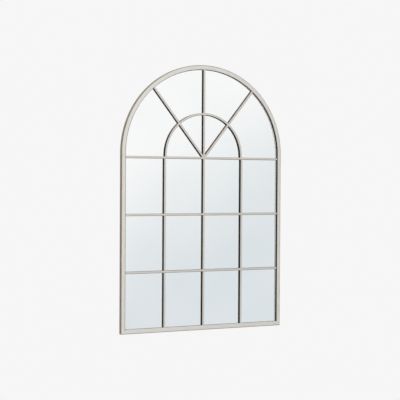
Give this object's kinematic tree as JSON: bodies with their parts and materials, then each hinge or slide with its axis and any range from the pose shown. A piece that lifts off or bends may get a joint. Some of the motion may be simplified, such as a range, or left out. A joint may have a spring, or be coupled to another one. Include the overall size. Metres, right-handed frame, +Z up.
{
  "type": "arched window mirror",
  "caption": "Wall mirror shaped as a round-headed window: painted steel frame and glazing bars over one mirror sheet, with a boarded back and ring hangers.",
  "frame": {"origin": "middle of the bottom edge, halfway between the front of the frame and the tips of the wall bumpers", "axes": "+X to the right seen from the room, +Y into the wall, +Z up; the mirror faces -Y"},
  "size_m": [0.8, 0.028, 1.2],
  "materials": {
    "frame_paint": "stone-coloured paint, brushed on, rubbed dark at the edges",
    "bar_paint": "the same stone paint, worn to a dark base coat on the sides",
    "mirror": "silvered float glass, clear",
    "foam": "grey polyethylene foam sheet",
    "board": "medium density fibreboard, bare",
    "zinc": "bright zinc plate",
    "screw": "zinc-plated screw",
    "rubber": "black rubber, matt"
  },
  "bodies": {
    "frame": {"arch_rail": "frame_paint", "stile_left": "frame_paint", "stile_right": "frame_paint", "bottom_rail": "frame_paint", "cross_bar_1": "bar_paint", "cross_bar_2": "bar_paint", "spring_bar": "bar_paint", "upright_1_row_1": "bar_paint", "upright_1_row_2": "bar_paint", "upright_1_row_3": "bar_paint", "upright_2_row_1": "bar_paint", "upright_2_row_2": "bar_paint", "upright_2_row_3": "bar_paint", "upright_3_row_1": "bar_paint", "upright_3_row_2": "bar_paint", "upright_3_row_3": "bar_paint", "inner_arch_bar": "bar_paint", "fan_left_inner": "bar_paint", "fan_left_outer": "bar_paint", "fan_centre_inner": "bar_paint", "fan_centre_outer": "bar_paint", "fan_right_inner": "bar_paint", "fan_right_outer": "bar_paint", "mirror_glass": "mirror", "foam_sheet": "foam", "backing_board": "board", "button_screw_rail_left": "screw", "button_screw_low_left": "screw", "button_screw_high_left": "screw", "button_screw_arch_left": "screw", "button_screw_rail_right": "screw", "button_screw_low_right": "screw", "button_screw_high_right": "screw", "button_screw_arch_right": "screw", "hanger_strap_left": "zinc", "hanger_screw_left_1": "screw", "hanger_screw_left_2": "screw", "hanger_strap_right": "zinc", "hanger_screw_right_1": "screw", "hanger_screw_right_2": "screw", "wall_bumper_low_left": "rubber", "wall_bumper_low_right": "rubber", "wall_bumper_top_left": "rubber", "wall_bumper_top_right": "rubber"},
    "button_rail_left": {"turn_button_rail_left": "zinc"},
    "button_low_left": {"turn_button_low_left": "zinc"},
    "button_high_left": {"turn_button_high_left": "zinc"},
    "button_arch_left": {"turn_button_arch_left": "zinc"},
    "button_rail_right": {"turn_button_rail_right": "zinc"},
    "button_low_right": {"turn_button_low_right": "zinc"},
    "button_high_right": {"turn_button_high_right": "zinc"},
    "button_arch_right": {"turn_button_arch_right": "zinc"},
    "ring_left": {"hanger_ring_left": "zinc"},
    "ring_right": {"hanger_ring_right": "zinc"}
  },
  "joints": [
    {"name": "button_rail_left_turn", "type": "hinge", "parent": "frame", "child": "button_rail_left", "pos_m": [-0.19, 0.00905, 0.01], "axis": [0, 1, 0], "continuous": true},
    {"name": "button_low_left_turn", "type": "hinge", "parent": "frame", "child": "button_low_left", "pos_m": [-0.39, 0.00905, 0.25], "axis": [0, 1, 0], "continuous": true},
    {"name": "button_high_left_turn", "type": "hinge", "parent": "frame", "child": "button_high_left", "pos_m": [-0.39, 0.00905, 0.59], "axis": [0, 1, 0], "continuous": true},
    {"name": "button_arch_left_turn", "type": "hinge", "parent": "frame", "child": "button_arch_left", "pos_m": [-0.24011, 0.00905, 1.10732], "axis": [0, 1, 0], "continuous": true},
    {"name": "button_rail_right_turn", "type": "hinge", "parent": "frame", "child": "button_rail_right", "pos_m": [0.19, 0.00905, 0.01], "axis": [0, 1, 0], "continuous": true},
    {"name": "button_low_right_turn", "type": "hinge", "parent": "frame", "child": "button_low_right", "pos_m": [0.39, 0.00905, 0.25], "axis": [0, 1, 0], "continuous": true},
    {"name": "button_high_right_turn", "type": "hinge", "parent": "frame", "child": "button_high_right", "pos_m": [0.39, 0.00905, 0.59], "axis": [0, 1, 0], "continuous": true},
    {"name": "button_arch_right_turn", "type": "hinge", "parent": "frame", "child": "button_arch_right", "pos_m": [0.24011, 0.00905, 1.10732], "axis": [0, 1, 0], "continuous": true},
    {"name": "ring_left_swing", "type": "hinge", "parent": "frame", "child": "ring_left", "pos_m": [-0.39, 0.01075, 0.786], "axis": [1, 0, 0], "range_deg": [0, 180]},
    {"name": "ring_right_swing", "type": "hinge", "parent": "frame", "child": "ring_right", "pos_m": [0.39, 0.01075, 0.786], "axis": [1, 0, 0], "range_deg": [0, 180]}
  ]
}
